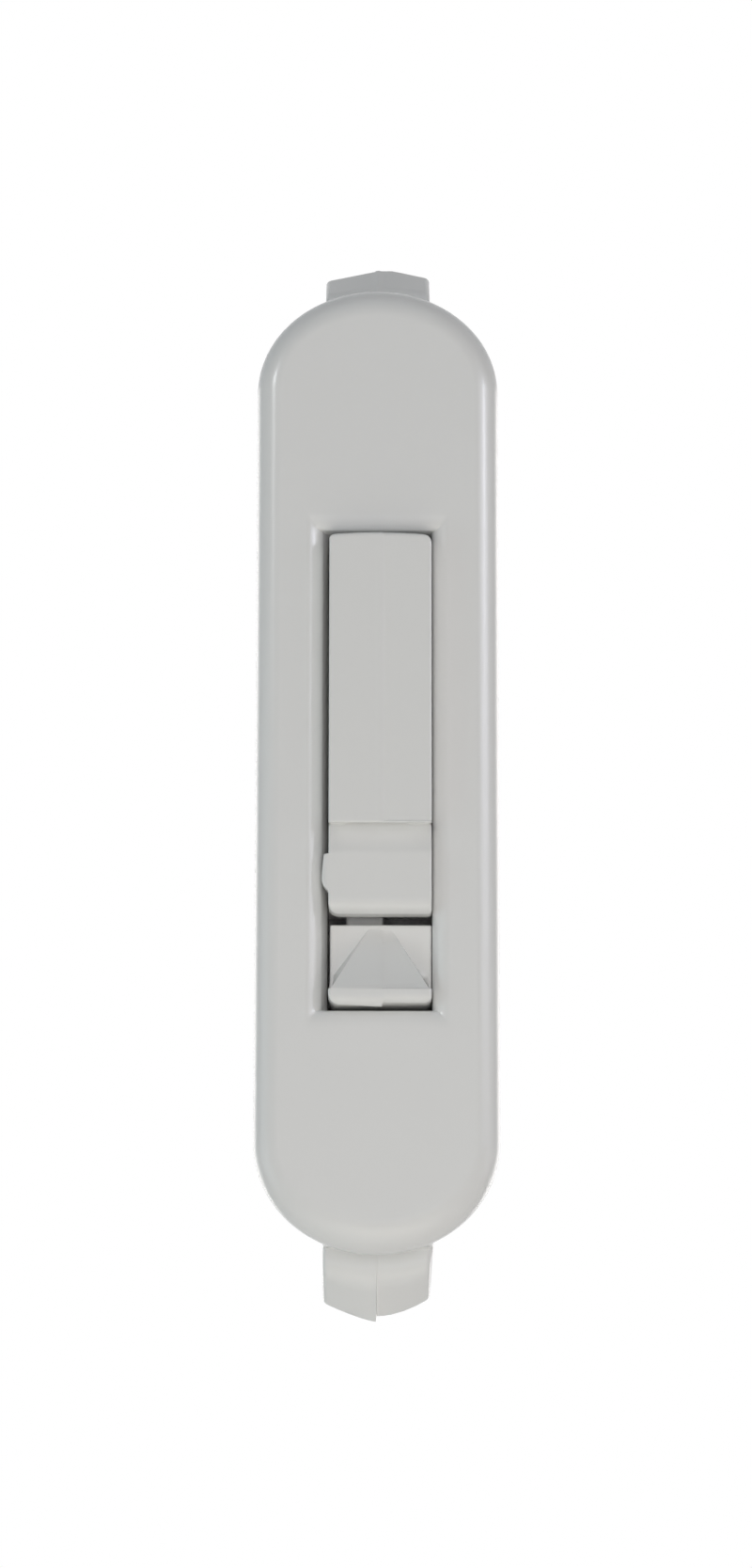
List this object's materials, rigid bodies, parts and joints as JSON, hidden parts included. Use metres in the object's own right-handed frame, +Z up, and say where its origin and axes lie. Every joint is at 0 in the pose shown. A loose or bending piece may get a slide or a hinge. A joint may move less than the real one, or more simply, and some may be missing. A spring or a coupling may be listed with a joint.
{
  "type": "window vent lock",
  "caption": "Snap-in window vent lock: rounded bezel with a long window, a pivoting latch that swings out to stop the sash, and a push button that moves it.",
  "frame": {"origin": "centre of the bezel's underside, in the plane that seats on the sash", "axes": "+Z up along the stile, towards the latch's nose; the front faces -Y; +Y goes into the sash"},
  "size_m": [0.016, 0.0131, 0.0713],
  "materials": {
    "bezel_plastic": "white gloss moulding",
    "latch_plastic": "white moulding, slightly less glossy",
    "steel": "oiled spring steel"
  },
  "bodies": {
    "body": {"housing": "bezel_plastic", "pivot_pin": "steel", "detent_spring": "steel"},
    "latch_body": {"latch": "latch_plastic"},
    "button_body": {"push_button": "latch_plastic"}
  },
  "joints": [
    {"name": "latch_swing", "type": "hinge", "parent": "body", "child": "latch_body", "pos_m": [0, 0.0016, -0.0082], "axis": [1, 0, 0], "range_deg": [0, 40], "deforming": ["detent_spring"]},
    {"name": "button_press", "type": "slide", "parent": "body", "child": "button_body", "axis": [0, 1, 0], "range_m": [0, 0.0025]}
  ],
  "couplings": [
    {"joint": "latch_swing", "follows": "button_press", "rad_per_m": 279.25}
  ]
}
